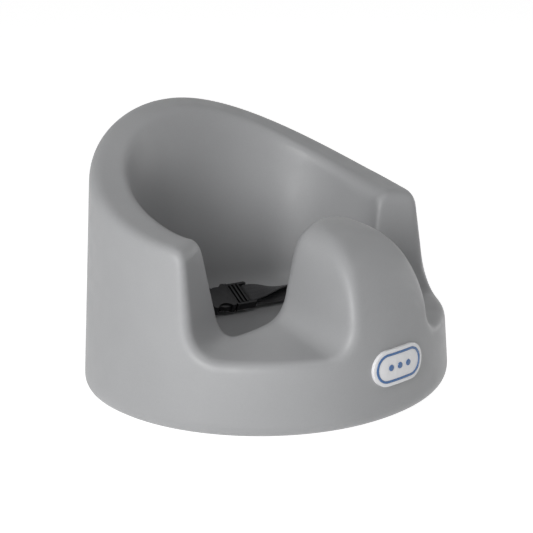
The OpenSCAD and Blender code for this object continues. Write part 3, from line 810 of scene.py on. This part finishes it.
def stitch(start, end, up):
    """Points and faces of one stitch: a short thread with round ends."""
    axis = (end - start).normalized()
    side = axis.cross(up).normalized()
    up = side.cross(axis)
    columns = []
    for k in range(THREAD_RINGS + 1):
        t = math.pi / 2 * (1 - k / THREAD_RINGS)
        columns.append((start - axis * THREAD_R * math.sin(t), THREAD_R * math.cos(t)))
    for k in range(THREAD_RINGS + 1):
        t = math.pi / 2 * k / THREAD_RINGS
        columns.append((end + axis * THREAD_R * math.sin(t), THREAD_R * math.cos(t)))
    points, faces = [], []
    for centre, size in columns:
        size = max(size, THREAD_R * THREAD_TIP)
        for j in range(THREAD_SIDES):
            t = 2 * math.pi * j / THREAD_SIDES
            points.append(centre + side * size * math.cos(t)
                          + up * size * THREAD_FLAT * math.sin(t))
    for k in range(len(columns) - 1):
        a, b = k * THREAD_SIDES, (k + 1) * THREAD_SIDES
        faces += [(a + j, a + (j + 1) % THREAD_SIDES, b + (j + 1) % THREAD_SIDES, b + j)
                  for j in range(THREAD_SIDES)]
    last = (len(columns) - 1) * THREAD_SIDES
    faces += [tuple(reversed(range(THREAD_SIDES))),
              tuple(last + j for j in range(THREAD_SIDES))]
    return points, faces


def seam(run, k, side):
    """Stitches across a strip at one of its stations, on one of its faces."""
    centre, width = run[k]
    up = (run[min(len(run) - 1, k + 1)][0] - run[k - 1][0]).cross(width).normalized() * side
    face = centre + up * WEB_THICK / 2
    a, b = face - width * SEAM_SHARE, face + width * SEAM_SHARE
    long = (b - a).length
    count = max(1, round(long / (STITCH + STITCH_GAP)))
    pitch = long / count
    return [stitch(a.lerp(b, (n * pitch + STITCH_GAP / 2) / long),
                   a.lerp(b, ((n + 1) * pitch - STITCH_GAP / 2) / long), up)
            for n in range(count)]


def join_shapes(name, shapes):
    points, faces = [], []
    for p, f in shapes:
        base = len(points)
        points += p
        faces += [tuple(base + i for i in face) for face in f]
    obj = mesh_object(name, points, faces)
    smooth(obj, STITCH_CREASE)
    return obj


def make_belts():
    right, left = right_run(), left_run()
    dress(make_strip("webbing_right", right), WEBBING, "webbing", "seat", "belt_right")
    dress(make_strip("webbing_left", left), WEBBING, "webbing", "seat", "belt_left")
    shapes = []
    for k in TAIL_SEAMS:
        for side in (-1, 1):
            shapes += seam(right, len(right) - k, side)
    for k in SEWN_SEAMS:
        shapes += seam(left, len(left) - k, SEWN_FACE)
    dress(join_shapes("stitching", shapes), THREAD, "webbing", "seat")


# ---------------------------------------------------------------- rigid pieces
BUCKLE_EDGE, BADGE_EDGE, INLAY_EDGE = 0.45, 0.5, 0.3

# CAD node, piece, edge round, material, slot and body
ROUNDED = (
    ("buckle_socket", "buckle_body", BUCKLE_EDGE, BUCKLE, "buckle_plastic", "seat"),
    ("buckle_tongue", "buckle_tab", BUCKLE_EDGE, BUCKLE, "buckle_plastic", "seat"),
    ("buckle_prong_front", "prong_front_arm", BUCKLE_EDGE, BUCKLE, "buckle_plastic",
     "prong_front"),
    ("buckle_prong_back", "prong_back_arm", BUCKLE_EDGE, BUCKLE, "buckle_plastic",
     "prong_back"),
    ("badge_plate", "badge_base", BADGE_EDGE, BADGE_WHITE, "badge_white", "seat"),
    ("badge_band", "badge_ring", INLAY_EDGE, BADGE_BLUE, "badge_blue", "seat"),
    ("badge_dots", "badge_studs", INLAY_EDGE, BADGE_BLUE, "badge_blue", "seat"))

# CAD nodes that show as they are, and their materials
PLAIN = (("base_board", BOARD), ("bracket_left", STEEL), ("bracket_right", STEEL),
         ("bracket_screws", SCREW), ("anchor_pins", SCREW))


def make_rigid():
    for node, name, edge, material, slot, body in ROUNDED:
        dress(rounded_copy(node, name, edge), material, slot, body, node)
    for node, material in PLAIN:
        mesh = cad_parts[node].data
        mesh.materials.clear()
        mesh.materials.append(material)


# ---------------------------------------------------------------- stage
# The camera: degrees, metres, focal length in frame widths, shift in pixels
FRAME_PIXELS, SENSOR = 533, 36
TARGET = Vector((0, -HOME_Y * MM, 0.110))
AZIMUTH, ELEVATION, DISTANCE = -43.7062, 16.9055, 1.68454
FOCAL, SHIFT_X, SHIFT_Y = 3.0763, -8.700, 8.031
CLIP_START, CLIP_END = 0.05, 50

# Lamps: name, place and size in metres, power in watts. All aim at LAMP_AIM.
LAMPS = (("key", (-2.1, -0.7, 0.8), 1.0, 39),
         ("side", (2.2, -0.5, 0.2), 0.8, 8),
         ("top", (-0.2, -1.0, 2.1), 1.0, 8))
LAMP_AIM = Vector((0, 0, 0.1))

# Strength of the world as a light, and as the background that a camera ray shows
WORLD_LEVEL, WORLD_SHOWN = 0.09, 1.0

# Half the floor's width. Its colour and glow as a light, and as the background that a
# camera ray shows.
FLOOR_HALF = 4000
FLOOR_PLAIN, FLOOR_BOUNCE = 0.8, 0.3
FLOOR_SHADE, FLOOR_GLOW = 0.5, 0.93


def make_camera():
    data = bpy.data.cameras.new("camera")
    data.sensor_width, data.lens = SENSOR, FOCAL * SENSOR
    data.shift_x, data.shift_y = SHIFT_X / FRAME_PIXELS, SHIFT_Y / FRAME_PIXELS
    data.clip_start, data.clip_end = CLIP_START, CLIP_END
    data.dof.use_dof = False
    camera = new_object("camera", data)
    a, e = math.radians(AZIMUTH), math.radians(ELEVATION)
    back = Vector((math.sin(a) * math.cos(e), -math.cos(a) * math.cos(e), math.sin(e)))
    camera.location = TARGET + back * DISTANCE
    camera.rotation_mode = "QUATERNION"
    camera.rotation_quaternion = (-back).to_track_quat("-Z", "Y")
    bpy.context.scene.camera = camera


def make_lamps():
    for name, place, size, power in LAMPS:
        data = bpy.data.lights.new(name, "AREA")
        data.shape, data.size, data.energy = "SQUARE", size, power
        lamp = new_object(name, data)
        lamp.location = place
        lamp.rotation_mode = "QUATERNION"
        lamp.rotation_quaternion = (LAMP_AIM - Vector(place)).to_track_quat("-Z", "Y")


def white_ray(tree):
    """True for the rays that show the background: camera, mirror and glass."""
    path = tree.nodes.new("ShaderNodeLightPath")
    total = path.outputs["Is Camera Ray"]
    for key in ("Is Glossy Ray", "Is Transmission Ray"):
        made = tree.nodes.new("ShaderNodeMath")
        made.operation = "MAXIMUM"
        tree.links.new(total, made.inputs[0])
        tree.links.new(path.outputs[key], made.inputs[1])
        total = made.outputs["Value"]
    return total


def make_world():
    world = bpy.data.worlds.new("studio")
    world.use_nodes = True
    bpy.context.scene.world = world
    tree = world.node_tree
    ground = tree.nodes["Background"]
    ground.inputs["Color"].default_value = (1, 1, 1, 1)
    strength = tree.nodes.new("ShaderNodeMapRange")
    strength.inputs["To Min"].default_value = WORLD_LEVEL
    strength.inputs["To Max"].default_value = WORLD_SHOWN
    tree.links.new(white_ray(tree), strength.inputs["Value"])
    tree.links.new(strength.outputs["Result"], ground.inputs["Strength"])


def make_floor():
    corners = [(x * FLOOR_HALF, y * FLOOR_HALF, 0) for x, y in ((-1, -1), (1, -1), (1, 1), (-1, 1))]
    floor = mesh_object("floor", corners, [(0, 1, 2, 3)])
    material = bpy.data.materials.new("floor")
    material.use_nodes = True
    tree = material.node_tree
    tree.nodes.remove(tree.nodes["Principled BSDF"])
    choose = tree.nodes.new("ShaderNodeMixShader")
    tree.links.new(white_ray(tree), choose.inputs["Fac"])
    for spot, (shade, level) in enumerate(((FLOOR_PLAIN, FLOOR_BOUNCE),
                                           (FLOOR_SHADE, FLOOR_GLOW)), 1):
        coat = tree.nodes.new("ShaderNodeBsdfDiffuse")
        coat.inputs["Color"].default_value = (shade,) * 3 + (1,)
        glow = tree.nodes.new("ShaderNodeEmission")
        glow.inputs["Strength"].default_value = level
        both = tree.nodes.new("ShaderNodeAddShader")
        tree.links.new(coat.outputs["BSDF"], both.inputs[0])
        tree.links.new(glow.outputs["Emission"], both.inputs[1])
        tree.links.new(both.outputs["Shader"], choose.inputs[spot])
    tree.links.new(choose.outputs["Shader"], tree.nodes["Material Output"].inputs["Surface"])
    floor.data.materials.append(material)


make_camera()
make_foam()
make_belts()
make_rigid()
make_floor()
make_world()
make_lamps()
bpy.context.scene.view_settings.view_transform = "Standard"
